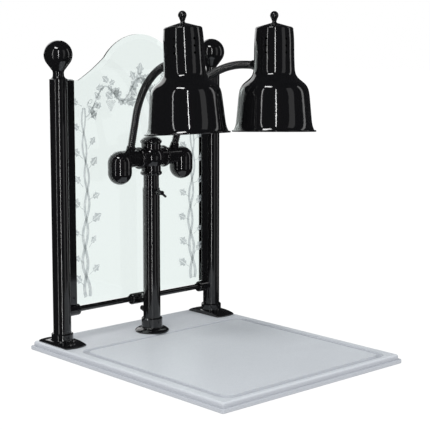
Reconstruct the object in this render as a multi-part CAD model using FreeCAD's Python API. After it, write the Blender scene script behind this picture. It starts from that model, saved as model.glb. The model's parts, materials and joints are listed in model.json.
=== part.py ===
"""Two-lamp carving station: board, glass guard between two posts, and two heat lamps on bent necks.

A solid-surface board carries two tall outer posts with an arched glass guard between them.  A
shorter centre post stands in front of the guard, and a stem telescopes out of it.  The stem carries
a four-way cross fitting, whose two arms hold flexible necks with bell-shaped lamp shades.

Frame: millimetres, +Z up, -Y towards the carver, +X to the carver's right as seen from the front.
The origin is the centre of the underside of the feet.
"""
import FreeCAD, Part
import math
import os

Vector = FreeCAD.Vector
UP = Vector(0, 0, 1)
RIGHT = Vector(1, 0, 0)
FRONT = Vector(0, -1, 0)
BACK = Vector(0, 1, 0)

# ---- driving dimensions (mm) ----------------------------------------------------------------
FIT = 0.05                  # radial clearance between fixed pieces
RUN = 0.08                  # radial clearance between pieces that slide or turn
GAP = 0.3                   # clearance between faces of pieces that move past each other

# board
BOARD_W = 508.0
BOARD_D = 610.0
BOARD_T = 19.0
BOARD_CORNER_R = 5.0
LIP_INSET = 5.0             # the upper part of the edge stands in by this much
LIP_H = 10.0
LIP_ROUND = 5.0
BAND_ROUND = 2.5
GROOVE_SIDE = 39.0          # from the board's edge to the groove's inner wall
GROOVE_FRONT = 31.0
GROOVE_REAR = 153.0
GROOVE_W = 15.0
GROOVE_DEPTH = 4.0
GROOVE_ROUND = 3.0
GROOVE_CORNER_R = 14.0
FOOT_R = 14.0
FOOT_H = 3.0
FOOT_INSET = 45.0

# posts
TUBE_R = 19.05
TUBE_WALL = 1.65
OUTER_X = 215.5
OUTER_Y = 239.6
OUTER_TOP = 562.0           # top of the outer tubes above the board
FLANGE_SEAT = 3.0           # a tube stands this far above the board, on the flange's floor
OUTER_FLANGE_R = 56.0
OUTER_FLANGE_HALF_W = 26.0
OUTER_COLLAR_H = 24.0
CENTRE_Y = 199.4
CENTRE_TOP = 321.0          # top of the centre tube above the board
CENTRE_FLANGE_R = 37.5
CENTRE_COLLAR_H = 31.0
COLLAR_R = TUBE_R + 4.15
COLLAR_SCREW_DROP = 8.0     # from a collar's top down to its set screw
SCREW_PROUD = 0.5
FLANGE_EDGE_H = 3.0
FLANGE_CROWN_H = 8.0
BOLT_R = 2.5
BOLT_HEAD_R = 4.5
BOLT_HEAD_H = 2.6
BOLT_SEAT_H = 3.8           # the heads sit in counterbores this far above the board
BOLT_DRIVE_R = 1.6
COUNTERBORE_GAP = 0.6
BOLT_DEPTH = 13.0
OUTER_BOLT_OFFSET = 41.0
CENTRE_BOLT_OFFSET = 31.0
CENTRE_BOLTS = 4

# ball finials
FINIAL_PLUG_H = 14.0
FINIAL_FLARE_H = 11.0
FINIAL_NECK_H = 8.0
FINIAL_NECK_R = 11.8
FINIAL_BALL_R = 30.0
FINIAL_TAPER = 35.0         # degrees below the equator where the ball runs into its taper
FINIAL_BALL_UP = 52.5       # ball centre above the tube's top

# glass guard and lower rail
GLASS_T = 6.0
GLASS_EDGE_GAP = 4.45       # between the pane's edge and the floor of its channel
GLASS_LOW = 76.5            # bottom edge above the board
GLASS_CHAMFER = 9.0
SHOULDER_H = OUTER_TOP - 2          # level ends of the arch, above the board
SHOULDER_X = 165.0
DIP_X = 128.0               # point on the hollow part of the arch
DIP_RISE = 22.5             # and its height above the shoulder
KNEE_X = 96.0               # where the hollow meets the crown
KNEE_RISE = 47.0
APEX_RISE = 96.0
CHANNEL_DEPTH = 16.0        # strip from the tube's side towards the glass
CHANNEL_WALL = 2.5
CHANNEL_BASE = 3.0
CHANNEL_LOW = 82.0
CHANNEL_TOP = OUTER_TOP - 1
CHANNEL_SCREW_TOP = 8.0     # from the strip's top to its upper screw
CHANNEL_SCREW_MID = 45.0
CHANNEL_SCREW_LOW = 14.0    # from the strip's foot to its lower screw
PAD_OFFSET = 26.0           # from the strip's top to the upper pad
PAD_LIFT = 8.0
PAD_MARGIN = 6.0            # the pads stop this far short of the slot's mouth
PAD_T = 1.2
PAD_H = 40.0
RAIL_R = 6.0
RAIL_H = 69.0               # rail axis above the board
RAIL_SOCKET_R = RAIL_R + 6.5
RAIL_SOCKET_L = 24.0
RAIL_SOCKET_REACH = 17.0    # depth of the rail inside a socket
CLAMP_R = RAIL_R + 6.5
CLAMP_L = 57.0
SET_SCREW_R = 2.0

# centre post fittings
THUMB_H = 313.0             # thumb screw axis above the board
THUMB_R = 3.0
THUMB_BOSS_R = THUMB_R + 3.5
THUMB_BOSS_L = 9.0
THUMB_STEM = 16.0           # from the tube's side to the handle
THUMB_BAR_R = 2.7
THUMB_BAR_L = 30.0
THUMB_BAR_SHIFT = 2.0       # the bar has slid this far through its hole
THUMB_BAR_TILT = 37.0       # degrees below level towards the right
THUMB_HEAD_R = THUMB_R + 2
GLAND_H = 46.0
GLAND_R = 7.5
GLAND_L = 16.0
CORD_HOLE_R = 4.0

# stem and cross fitting
STEM_WALL = 1.6
STEM_REACH = 170.0          # length of the stem hidden in the post when set
CROSS_H = 389.0             # cross centre above the board
CROSS_HALF = 39.0           # from its centre to the outer face of each collar
CROSS_R = TUBE_R + 2.45
HUB_R = CROSS_R + 7         # sphere that fills the corners between the barrels
BEAD_R = TUBE_R + 4.95
BEAD_L = 9.0
BEAD_ROUND = 4.0
SOCKET_DEPTH = 22.0
CAP_PLUG_H = 10.0
CAP_DOME_H = 9.0
ARM_R = TUBE_R - 0.05       # the same tube stock, dressed to fit its socket
KNUCKLE_R = ARM_R + 7       # rounded end of an arm and the ball that hangs below it
KNUCKLE_X = 87.0
END_BALL_DROP = 28.0        # ball centre below the cross centre
END_SPLIT_DROP = ARM_R + 1  # joint between knuckle and ball below the cross centre
SPLIT_CHAMFER = 0.6
SPIGOT_R = 8.0
SPIGOT_L = 6.0

# necks
NECK_R = 8.5
NECK_X = 61.0
NECK_WALL = 3.0
NUT_FLOOR = 2.0
NECK_LEAN = 17.0            # degrees forward of vertical where a neck leaves its arm
NUT_R = NECK_R + 1.3
NUT_H = 7.0
SEAT_R = NECK_R + 1.9
SEAT_H = 2.0

# lamps: x, y of the neck's entry on the shade's axis, its height above the board and above the rim,
# the heading of the neck at the shade (degrees from vertical), its straight end, and the lean of the
# shade's axis and the heading of that lean
LAMPS = {
    "left": {"side": -1, "x": -88.0, "y": -12.0, "z": 608.0, "entry": 150.0, "arrive": 78.0,
             "straight": 6.0, "lean": 5.1, "heading": 77.0},
    "right": {"side": 1, "x": 88.0, "y": -90.0, "z": 593.5, "entry": 135.5, "arrive": 90.0,
              "straight": 24.0, "lean": 4.5, "heading": 48.0},
}
SHADE_WALL = 1.2
SHADE_H = 208.0
RIM_R = 85.5
FLANK_R = 73.3
SHOULDER_R = 43.0
TOP_R = 39.0
RIM_BEAD_R = 1.8
VENT_R = 2.6
VENT_TURN = 21.0            # degrees from +X to the first column of vents
VENT_MARGIN = 4.0           # least metal between a vent and the neck's hole
VENT_ROWS = (160.0, 174.0, 188.0)
VENT_COLUMNS = 6
SHADE_CAP_H = 13.0
SHADE_CAP_EDGE = 1.5
SHADE_CAP_WALL = 2.0
SHADE_CAP_TOP_R = 9.0
KNOB_SKIRT_R = 8.0
KNOB_NECK_R = 4.4
KNOB_NECK_H = 4.0
KNOB_BALL_R = 8.7
KNOB_H = 25.0
STUD_R = 3.0
STUD_REACH = 6.0            # stud length below the shade's top
CAP_GAP = 0.1               # between the shade's top and its cap
FERRULE_R = NECK_R + 1.3
LOCK_NUT_R = NECK_R + 3
FERRULE_L = 12.0
FERRULE_NUT_L = 4.0
FERRULE_GRIP_BACK = 3.0     # how far the grip reaches back over the neck
FERRULE_THROUGH = 6.0       # sleeve length between the grip and the lock nut

# lamp holder and bulb, heights above the rim
SOCKET_R = 19.0
SOCKET_LOW = 122.0
SOCKET_TOP = 168.0
SOCKET_BORE_R = 14.0
SOCKET_BORE_DEPTH = 34.0
NIPPLE_R = 5.0
BULB_FACE = 25.0
BULB_R = 61.0
BULB_NECK_R = 17.0
BULB_WALL = 1.0
BULB_TOP = 118.0
CAP_SHELL_R = 13.2
CAP_SHELL_TOP = 146.0

BOARD_TOP = FOOT_H + BOARD_T
BORE_R = TUBE_R - TUBE_WALL
STEM_R = BORE_R - RUN
CROSS_Z = BOARD_TOP + CROSS_H
GLASS_HALF_W = OUTER_X - TUBE_R - CHANNEL_BASE - GLASS_EDGE_GAP
CHANNEL_X = OUTER_X - TUBE_R - CHANNEL_DEPTH / 2
SIDES = {"left": -1, "right": 1}

os.makedirs("parts", exist_ok=True)


# ---- helpers --------------------------------------------------------------------------------
def save(name, shape):
    """Write one node; several solids in it stay separate."""
    shape.exportStep("parts/" + name + ".step")


def group(solids):
    return Part.makeCompound(solids)


def cylinder(radius, height, base, axis=UP):
    return Part.makeCylinder(radius, height, base, axis)


def tube(outer, inner, height, base, axis=UP):
    return cylinder(outer, height, base, axis).cut(cylinder(inner, height, base, axis))


def box(low, high):
    size = high - low
    return Part.makeBox(size.x, size.y, size.z, low)


def polyline(points):
    return [Part.LineSegment(a, b).toShape() for a, b in zip(points, points[1:])]


def mirrored(point):
    return Vector(-point.x, point.y, point.z)


def revolve(edges, base=Vector(0, 0, 0)):
    """Turn a closed outline in the XZ plane about the Z axis, and place it at base."""
    face = Part.Face(Part.Wire(edges))
    solid = face.revolve(Vector(0, 0, 0), UP, 360)
    solid.translate(base)
    return solid


def along(path, radius, start, direction):
    """A round bar swept along a path of lines and arcs."""
    section = Part.Wire(Part.Circle(start, direction, radius).toShape())
    return path.makePipeShell([section], True, True)


# ---- board ----------------------------------------------------------------------------------
def rounded_slab(width, depth, height, z, corner):
    slab = box(Vector(-width / 2, -depth / 2, z), Vector(width / 2, depth / 2, z + height))
    upright = [e for e in slab.Edges if abs(e.tangentAt(e.FirstParameter).z) > 0.9]
    return slab.makeFillet(corner, upright)


def round_edges(solid):
    return [e for e in solid.Edges if isinstance(e.Curve, Part.Circle)]


def level_edges(solid, z):
    return [e for e in solid.Edges if abs(e.BoundBox.ZMin - z) < 1e-6 and abs(e.BoundBox.ZMax - z) < 1e-6]


def groove_plug(outset):
    """The block inside the groove's inner wall, grown by outset, as tall as the groove is deep."""
    low = Vector(-BOARD_W / 2 + GROOVE_SIDE - outset, -BOARD_D / 2 + GROOVE_FRONT - outset, 0)
    high = Vector(BOARD_W / 2 - GROOVE_SIDE + outset, BOARD_D / 2 - GROOVE_REAR + outset, GROOVE_DEPTH)
    low.z = BOARD_TOP - GROOVE_DEPTH
    high.z = BOARD_TOP
    block = box(low, high)
    upright = [e for e in block.Edges if abs(e.tangentAt(e.FirstParameter).z) > 0.9]
    return block.makeFillet(GROOVE_CORNER_R + outset, upright)


def juice_groove():
    channel = groove_plug(GROOVE_W).cut(groove_plug(0))
    return channel.makeFillet(GROOVE_ROUND, level_edges(channel, BOARD_TOP - GROOVE_DEPTH))


def bolt_places():
    """Centre of each flange bolt on the board."""
    places = []
    for side in SIDES.values():
        for way in (-1, 1):
            places.append(Vector(side * OUTER_X, OUTER_Y + way * OUTER_BOLT_OFFSET, BOARD_TOP))
    for index in range(CENTRE_BOLTS):
        angle = math.radians(360 / CENTRE_BOLTS * (index + 0.5))
        reach = Vector(math.cos(angle), math.sin(angle), 0) * CENTRE_BOLT_OFFSET
        places.append(Vector(0, CENTRE_Y, BOARD_TOP) + reach)
    return places


def bolt_clearance():
    holes = []
    for place in bolt_places():
        holes.append(cylinder(BOLT_R + FIT, 60, place - UP * BOLT_DEPTH))
    return group(holes)


def make_board():
    band = rounded_slab(BOARD_W, BOARD_D, BOARD_T - LIP_H, FOOT_H, BOARD_CORNER_R)
    band = band.makeFillet(BAND_ROUND, level_edges(band, FOOT_H) + level_edges(band, BOARD_TOP - LIP_H))
    lip_size = (BOARD_W - 2 * LIP_INSET, BOARD_D - 2 * LIP_INSET)
    lip = rounded_slab(lip_size[0], lip_size[1], LIP_H, BOARD_TOP - LIP_H, BOARD_CORNER_R)
    lip = lip.makeFillet(LIP_ROUND, level_edges(lip, BOARD_TOP))
    board = band.fuse(lip).removeSplitter()
    return board.cut(juice_groove()).cut(bolt_clearance())


def make_feet():
    feet = []
    for x in (-1, 1):
        for y in (-1, 1):
            base = Vector(x * (BOARD_W / 2 - FOOT_INSET), y * (BOARD_D / 2 - FOOT_INSET), 0)
            foot = cylinder(FOOT_R, FOOT_H, base)
            feet.append(foot.makeFillet(FOOT_H / 3, level_edges(foot, 0)))
    return group(feet)


def make_bolts():
    bolts = []
    for place in bolt_places():
        seat = place + UP * BOLT_SEAT_H
        head = cylinder(BOLT_HEAD_R, BOLT_HEAD_H, seat)
        head = head.makeFillet(BOLT_HEAD_H * 0.6, level_edges(head, seat.z + BOLT_HEAD_H))
        shank = cylinder(BOLT_R, BOLT_DEPTH + BOLT_SEAT_H - 0.5, place - UP * (BOLT_DEPTH - 0.5))
        drive = cylinder(BOLT_DRIVE_R, BOLT_HEAD_H / 2, seat + UP * BOLT_HEAD_H / 2)
        bolts.append(head.fuse(shank).removeSplitter().cut(drive))
    return group(bolts)


# ---- flanges and posts ----------------------------------------------------------------------
def flange_blank(radius, collar_height):
    """Low dome with a collar, and a blind seat for the tube."""
    crown = Vector(radius * 0.62, 0, FLANGE_CROWN_H - 0.6)
    foot = Vector(COLLAR_R + 3, 0, FLANGE_CROWN_H)
    waist = Vector(COLLAR_R, 0, FLANGE_CROWN_H + 4)
    if crown.x <= foot.x + 2:
        crown = Vector((radius + foot.x) / 2, 0, FLANGE_CROWN_H - 1.2)
    bottom = [Vector(0, 0, 0), Vector(radius, 0, 0), Vector(radius, 0, FLANGE_EDGE_H)]
    edges = polyline(bottom)
    edges.append(Part.Arc(bottom[-1], crown, foot).toShape())
    edges.append(Part.Arc(foot, foot + Vector(-2.2, 0, 1.2), waist).toShape())
    rim = collar_height - 2
    edges += polyline([waist, Vector(COLLAR_R, 0, rim), Vector(COLLAR_R - 2, 0, collar_height),
                       Vector(TUBE_R + FIT, 0, collar_height), Vector(TUBE_R + FIT, 0, FLANGE_SEAT),
                       Vector(0, 0, FLANGE_SEAT), Vector(0, 0, 0)])
    return revolve(edges)


def seat_for_heads(solid):
    """Flat counterbores for the bolt heads, and the bolt holes."""
    for place in bolt_places():
        solid = solid.cut(cylinder(BOLT_HEAD_R + COUNTERBORE_GAP, 12, place + UP * BOLT_SEAT_H))
        solid = solid.cut(cylinder(BOLT_R + FIT, 60, place - UP))
    return solid


def make_outer_flange(side):
    base = Vector(side * OUTER_X, OUTER_Y, BOARD_TOP)
    flange = flange_blank(OUTER_FLANGE_R, OUTER_COLLAR_H)
    flange.translate(base)
    reach = Vector(OUTER_FLANGE_HALF_W, OUTER_FLANGE_R + 1, 0)
    flange = flange.common(box(base - reach, base + reach + UP * (OUTER_COLLAR_H + 1)))
    screw = cylinder(SET_SCREW_R + FIT, 30, base + UP * (OUTER_COLLAR_H - COLLAR_SCREW_DROP), FRONT)
    return seat_for_heads(flange).cut(screw)


def make_centre_flange():
    base = Vector(0, CENTRE_Y, BOARD_TOP)
    flange = flange_blank(CENTRE_FLANGE_R, CENTRE_COLLAR_H)
    flange.translate(base)
    screw = cylinder(SET_SCREW_R + FIT, 30, base + UP * (CENTRE_COLLAR_H - COLLAR_SCREW_DROP), FRONT)
    return seat_for_heads(flange).cut(screw)


def set_screw(tip, outward, length):
    """Headless screw with its tip on a tube and a hex drive in its outer end."""
    body = cylinder(SET_SCREW_R, length, tip, outward)
    return body.cut(cylinder(SET_SCREW_R * 0.5, length / 3, tip + outward * (length * 2 / 3), outward))


def make_flange_set_screws():
    length = COLLAR_R - TUBE_R + SCREW_PROUD
    screws = []
    for side in SIDES.values():
        tip = Vector(side * OUTER_X, OUTER_Y - TUBE_R - FIT, BOARD_TOP + OUTER_COLLAR_H - COLLAR_SCREW_DROP)
        screws.append(set_screw(tip, FRONT, length))
    tip = Vector(0, CENTRE_Y - TUBE_R - FIT, BOARD_TOP + CENTRE_COLLAR_H - COLLAR_SCREW_DROP)
    screws.append(set_screw(tip, FRONT, length))
    return group(screws)


def make_outer_tube(side):
    base = Vector(side * OUTER_X, OUTER_Y, BOARD_TOP + FLANGE_SEAT)
    return tube(TUBE_R, BORE_R, OUTER_TOP - FLANGE_SEAT, base)


def make_finial(side):
    """Ball that tapers into a waisted neck, with a plug that fits inside the tube."""
    plug_r = BORE_R - FIT
    ball = Vector(0, 0, FINIAL_BALL_UP)
    taper = math.radians(FINIAL_TAPER)
    join = ball + Vector(math.cos(taper), 0, -math.sin(taper)) * FINIAL_BALL_R
    waist = Vector(FINIAL_NECK_R, 0, FINIAL_FLARE_H)
    throat = Vector(FINIAL_NECK_R + 0.6, 0, FINIAL_FLARE_H + FINIAL_NECK_H)
    flare_mid = Vector(FINIAL_NECK_R + 1.9, 0, FINIAL_FLARE_H * 0.5)
    edges = polyline([Vector(0, 0, -FINIAL_PLUG_H), Vector(plug_r, 0, -FINIAL_PLUG_H), Vector(plug_r, 0, 0),
                      Vector(TUBE_R, 0, 0), Vector(TUBE_R, 0, 2)])
    edges.append(Part.Arc(Vector(TUBE_R, 0, 2), flare_mid, waist).toShape())
    edges.append(Part.Arc(waist, (waist + throat) * 0.5 - Vector(0.4, 0, 0), throat).toShape())
    edges += polyline([throat, join])
    edges.append(Part.Arc(join, ball + Vector(FINIAL_BALL_R, 0, 0), ball + UP * FINIAL_BALL_R).toShape())
    edges += polyline([ball + UP * FINIAL_BALL_R, Vector(0, 0, -FINIAL_PLUG_H)])
    return revolve(edges, Vector(side * OUTER_X, OUTER_Y, BOARD_TOP + OUTER_TOP))


# ---- glass guard ----------------------------------------------------------------------------
def make_glass():
    """Flat pane with chamfered bottom corners and an ogee-arched top."""
    low = BOARD_TOP + GLASS_LOW
    shoulder = BOARD_TOP + SHOULDER_H
    bottom = GLASS_HALF_W - GLASS_CHAMFER
    knee = Vector(KNEE_X, 0, shoulder + KNEE_RISE)
    dip = Vector(DIP_X, 0, shoulder + DIP_RISE)
    start = Vector(SHOULDER_X, 0, shoulder)
    apex = Vector(0, 0, shoulder + APEX_RISE)
    right_foot = Vector(GLASS_HALF_W, 0, low + GLASS_CHAMFER)
    edges = polyline([mirrored(right_foot), Vector(-bottom, 0, low), Vector(bottom, 0, low), right_foot,
                      Vector(GLASS_HALF_W, 0, shoulder), start])
    edges.append(Part.Arc(start, dip, knee).toShape())
    edges.append(Part.Arc(knee, apex, mirrored(knee)).toShape())
    edges.append(Part.Arc(mirrored(knee), mirrored(dip), mirrored(start)).toShape())
    edges += polyline([mirrored(start), Vector(-GLASS_HALF_W, 0, shoulder), mirrored(right_foot)])
    pane = Part.Face(Part.Wire(edges)).extrude(Vector(0, GLASS_T, 0))
    pane.translate(Vector(0, OUTER_Y - GLASS_T / 2, 0))
    return pane


def channel_outline(side):
    """Strip that seats on the outer tube's side, before its slot is cut."""
    tube_axis = side * OUTER_X
    outer = tube_axis - side * (TUBE_R - 2)
    inner = tube_axis - side * (TUBE_R + CHANNEL_DEPTH)
    half = GLASS_T / 2 + PAD_T + FIT + CHANNEL_WALL
    low = Vector(min(outer, inner), OUTER_Y - half, BOARD_TOP + CHANNEL_LOW)
    high = Vector(max(outer, inner), OUTER_Y + half, BOARD_TOP + CHANNEL_TOP)
    strip = box(low, high)
    return strip.cut(cylinder(TUBE_R + FIT, OUTER_TOP, Vector(tube_axis, OUTER_Y, BOARD_TOP)))


def screw_heights():
    top = BOARD_TOP + CHANNEL_TOP
    return [top - CHANNEL_SCREW_TOP, top - CHANNEL_SCREW_MID, BOARD_TOP + CHANNEL_LOW + CHANNEL_SCREW_LOW]


def make_channel(side):
    slot_half = GLASS_T / 2 + PAD_T + FIT
    floor = side * (OUTER_X - TUBE_R - CHANNEL_BASE)
    mouth = side * (OUTER_X - TUBE_R - CHANNEL_DEPTH - 1)
    low = Vector(min(floor, mouth), OUTER_Y - slot_half, BOARD_TOP + CHANNEL_LOW - 1)
    high = Vector(max(floor, mouth), OUTER_Y + slot_half, BOARD_TOP + CHANNEL_TOP + 1)
    strip = channel_outline(side).cut(box(low, high))
    for height in screw_heights():
        start = Vector(side * CHANNEL_X, OUTER_Y - slot_half, height)
        strip = strip.cut(cylinder(SET_SCREW_R + FIT, 12, start, FRONT))
    return strip


def make_channel_screws():
    screws = []
    for side in SIDES.values():
        for height in screw_heights():
            tip = Vector(side * CHANNEL_X, OUTER_Y - GLASS_T / 2 - PAD_T - FIT, height)
            screws.append(set_screw(tip, FRONT, CHANNEL_WALL + 1.2))
    return group(screws)


def make_pads():
    """Clear strips between the pane and both walls of each channel, at the screws."""
    pads = []
    reach = CHANNEL_DEPTH - CHANNEL_BASE - PAD_MARGIN
    for side in SIDES.values():
        for height in (BOARD_TOP + CHANNEL_LOW + CHANNEL_SCREW_LOW, BOARD_TOP + CHANNEL_TOP - PAD_OFFSET):
            for way in (-1, 1):
                inner = side * (GLASS_HALF_W - reach)
                outer = side * GLASS_HALF_W
                near = OUTER_Y + way * GLASS_T / 2
                far = near + way * PAD_T
                low = Vector(min(inner, outer), min(near, far), height - PAD_H / 2 + PAD_LIFT)
                high = Vector(max(inner, outer), max(near, far), height + PAD_H / 2 + PAD_LIFT)
                pads.append(box(low, high))
    return group(pads)


def make_rail():
    """Round rail whose ends sit in the sockets on the outer tubes."""
    reach = OUTER_X - TUBE_R - RAIL_SOCKET_L + RAIL_SOCKET_REACH
    return cylinder(RAIL_R, 2 * reach, Vector(-reach, OUTER_Y, BOARD_TOP + RAIL_H), RIGHT)


def pane_slot(low_x, high_x):
    """Slot that lets a fitting on the rail straddle the bottom edge of the pane."""
    half = GLASS_T / 2 + GAP
    low = Vector(low_x, OUTER_Y - half, BOARD_TOP + GLASS_LOW - GAP)
    return box(low, Vector(high_x, OUTER_Y + half, BOARD_TOP + GLASS_LOW + 30))


def make_rail_socket(side):
    """Cup on the glass side of an outer tube that takes the end of the rail."""
    axis_point = Vector(side * OUTER_X, OUTER_Y, BOARD_TOP + RAIL_H)
    inward = Vector(-side, 0, 0)
    length = TUBE_R + RAIL_SOCKET_L
    body = ring_end(RAIL_SOCKET_R, length, axis_point, inward)
    body = body.cut(cylinder(TUBE_R + FIT, 60, axis_point - UP * 30))
    body = body.cut(cylinder(RAIL_R + FIT, 60, axis_point + inward * (length - RAIL_SOCKET_REACH), inward))
    screw = axis_point + inward * (TUBE_R + RAIL_SOCKET_L / 2 + 3)
    body = body.cut(cylinder(SET_SCREW_R + FIT, 30, screw, FRONT))
    near, far = sorted((side * (OUTER_X - 1), side * (OUTER_X - 60)))
    low = Vector(near, OUTER_Y - 30, axis_point.z - 30)
    body = body.common(box(low, Vector(far, OUTER_Y + 30, axis_point.z + 30)))
    return body.cut(pane_slot(-GLASS_HALF_W - GAP, GLASS_HALF_W + GAP))


def ring_end(radius, length, base, axis):
    """Round bar whose far edge is rounded off."""
    bar = cylinder(radius, length, base, axis)
    far = base + axis * length
    edges = [e for e in round_edges(bar) if e.Curve.Center.distanceToPoint(far) < 1e-6]
    return bar.makeFillet(2.5, edges)


def make_rail_clamp():
    """Sleeve on the middle of the rail with an arm that reaches the centre tube."""
    middle = Vector(0, OUTER_Y, BOARD_TOP + RAIL_H)
    sleeve = cylinder(CLAMP_R, CLAMP_L, middle - Vector(CLAMP_L / 2, 0, 0), RIGHT)
    sleeve = sleeve.makeFillet(2.5, round_edges(sleeve))
    arm = cylinder(CLAMP_R - 2.5, OUTER_Y - CENTRE_Y, middle, FRONT)
    clamp = sleeve.fuse(arm).removeSplitter()
    clamp = clamp.cut(cylinder(RAIL_R + FIT, CLAMP_L + 2, middle - Vector(CLAMP_L / 2 + 1, 0, 0), RIGHT))
    post = cylinder(TUBE_R + FIT, 80, Vector(0, CENTRE_Y, middle.z - 40))
    front = box(Vector(-40, CENTRE_Y - 40, middle.z - 40), Vector(40, CENTRE_Y, middle.z + 40))
    clamp = clamp.cut(post).cut(front)
    for way in (-1, 1):
        hole = middle + Vector(way * CLAMP_L / 3, 0, 0)
        clamp = clamp.cut(cylinder(SET_SCREW_R + FIT, 30, hole, BACK))
    return clamp.cut(pane_slot(-CLAMP_L, CLAMP_L))


def make_rail_screws():
    screws = []
    height = BOARD_TOP + RAIL_H
    for side in SIDES.values():
        x = side * (OUTER_X - TUBE_R - RAIL_SOCKET_L / 2 - 3)
        tip = Vector(x, OUTER_Y - RAIL_R - FIT, height)
        screws.append(set_screw(tip, FRONT, RAIL_SOCKET_R - RAIL_R))
        tip = Vector(side * CLAMP_L / 3, OUTER_Y + RAIL_R + FIT, height)
        screws.append(set_screw(tip, BACK, CLAMP_R - RAIL_R))
    return group(screws)


# ---- centre post ----------------------------------------------------------------------------
def thumb_axis():
    return Vector(0, CENTRE_Y, BOARD_TOP + THUMB_H)


def gland_axis():
    return Vector(0, CENTRE_Y, BOARD_TOP + GLAND_H)


def make_centre_tube():
    base = Vector(0, CENTRE_Y, BOARD_TOP + FLANGE_SEAT)
    post = tube(TUBE_R, BORE_R, CENTRE_TOP - FLANGE_SEAT, base)
    post = post.cut(cylinder(THUMB_R + RUN, 2 * TUBE_R, thumb_axis(), FRONT))
    return post.cut(cylinder(CORD_HOLE_R + 1, 2 * TUBE_R, gland_axis(), BACK))


def make_thumb_boss():
    """Threaded boss welded on the front of the centre tube."""
    boss = ring_end(THUMB_BOSS_R, TUBE_R + THUMB_BOSS_L, thumb_axis(), FRONT)
    boss = boss.cut(cylinder(TUBE_R, 40, thumb_axis() - UP * 20))
    boss = boss.common(box(thumb_axis() + Vector(-20, -60, -20), thumb_axis() + Vector(20, 0, 20)))
    return boss.cut(cylinder(THUMB_R + RUN, 60, thumb_axis(), FRONT))


def make_thumb_screw():
    """Screw that presses on the stem, with a tommy bar through its head."""
    end = TUBE_R + THUMB_STEM
    shank = cylinder(THUMB_R, end - STEM_R - GAP, thumb_axis() + FRONT * (STEM_R + GAP), FRONT)
    head_start = TUBE_R + THUMB_BOSS_L + GAP
    head_length = end + THUMB_BAR_R + 1 - head_start
    head = cylinder(THUMB_HEAD_R, head_length, thumb_axis() + FRONT * head_start, FRONT)
    head = head.makeFillet(1.2, round_edges(head))
    tilt = math.radians(THUMB_BAR_TILT)
    direction = Vector(math.cos(tilt), 0, -math.sin(tilt))
    middle = thumb_axis() + FRONT * (end - 1) + direction * THUMB_BAR_SHIFT
    bar = cylinder(THUMB_BAR_R, THUMB_BAR_L, middle - direction * (THUMB_BAR_L / 2), direction)
    bar = bar.makeFillet(THUMB_BAR_R * 0.8, round_edges(bar))
    return shank.fuse(head).fuse(bar).removeSplitter()


def make_gland():
    """Bushing in the back of the centre tube where the supply lead would leave."""
    body = ring_end(GLAND_R, TUBE_R + GLAND_L - 6, gland_axis(), BACK)
    nose = cylinder(CORD_HOLE_R + 1.5, TUBE_R + GLAND_L, gland_axis(), BACK)
    body = body.fuse(nose).cut(cylinder(TUBE_R + FIT, 60, gland_axis() - UP * 30))
    body = body.common(box(gland_axis() + Vector(-20, 0, -20), gland_axis() + Vector(20, 60, 20)))
    neck = cylinder(CORD_HOLE_R + 1 - FIT, TUBE_WALL + 1, gland_axis() + BACK * (BORE_R + FIT), BACK)
    return body.fuse(neck).removeSplitter().cut(cylinder(CORD_HOLE_R - 0.5, 60, gland_axis(), BACK))


# ---- stem and cross -------------------------------------------------------------------------
def make_stem():
    low = BOARD_TOP + CENTRE_TOP - STEM_REACH
    top = CROSS_Z - CROSS_HALF + SOCKET_DEPTH
    return tube(STEM_R, STEM_R - STEM_WALL, top - low, Vector(0, CENTRE_Y, low))


def make_cross():
    """Four-way fitting: two crossing barrels with a rounded collar on each of the four outlets."""
    centre = Vector(0, CENTRE_Y, CROSS_Z)
    body = cylinder(CROSS_R, 2 * CROSS_HALF, centre - UP * CROSS_HALF)
    across = cylinder(CROSS_R, 2 * CROSS_HALF, centre - Vector(CROSS_HALF, 0, 0), RIGHT)
    body = body.fuse(across).fuse(Part.makeSphere(HUB_R, centre))
    for axis in (UP, -UP, RIGHT, -RIGHT):
        start = centre + axis * (CROSS_HALF - BEAD_L)
        bead = cylinder(BEAD_R, BEAD_L, start, axis)
        body = body.fuse(bead.makeFillet(BEAD_ROUND, round_edges(bead)))
    body = body.removeSplitter()
    inner = CROSS_HALF - SOCKET_DEPTH
    for axis, radius in ((UP, TUBE_R + FIT), (-UP, STEM_R + RUN), (RIGHT, ARM_R + FIT),
                         (-RIGHT, ARM_R + FIT)):
        body = body.cut(cylinder(radius, SOCKET_DEPTH + 1, centre + axis * inner, axis))
        body = body.cut(cylinder(STEM_R - STEM_WALL - 1, CROSS_HALF, centre, axis))
    for place, outward in cross_screw_places():
        body = body.cut(cylinder(SET_SCREW_R + FIT, 40, place, outward))
    return body


def cross_screw_places():
    """Point on the surface of what each set screw holds, and the way the screw points out."""
    step = CROSS_HALF - BEAD_L / 2
    centre = Vector(0, CENTRE_Y, CROSS_Z)
    places = [(centre + UP * step + FRONT * TUBE_R, FRONT), (centre - UP * step + FRONT * STEM_R, FRONT)]
    for side in SIDES.values():
        places.append((centre + Vector(side * step, 0, 0) + FRONT * ARM_R, FRONT))
    return places


def make_cross_screws():
    screws = []
    for place, outward in cross_screw_places():
        screws.append(set_screw(place + outward * GAP, outward, BEAD_R - TUBE_R))
    return group(screws)


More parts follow.
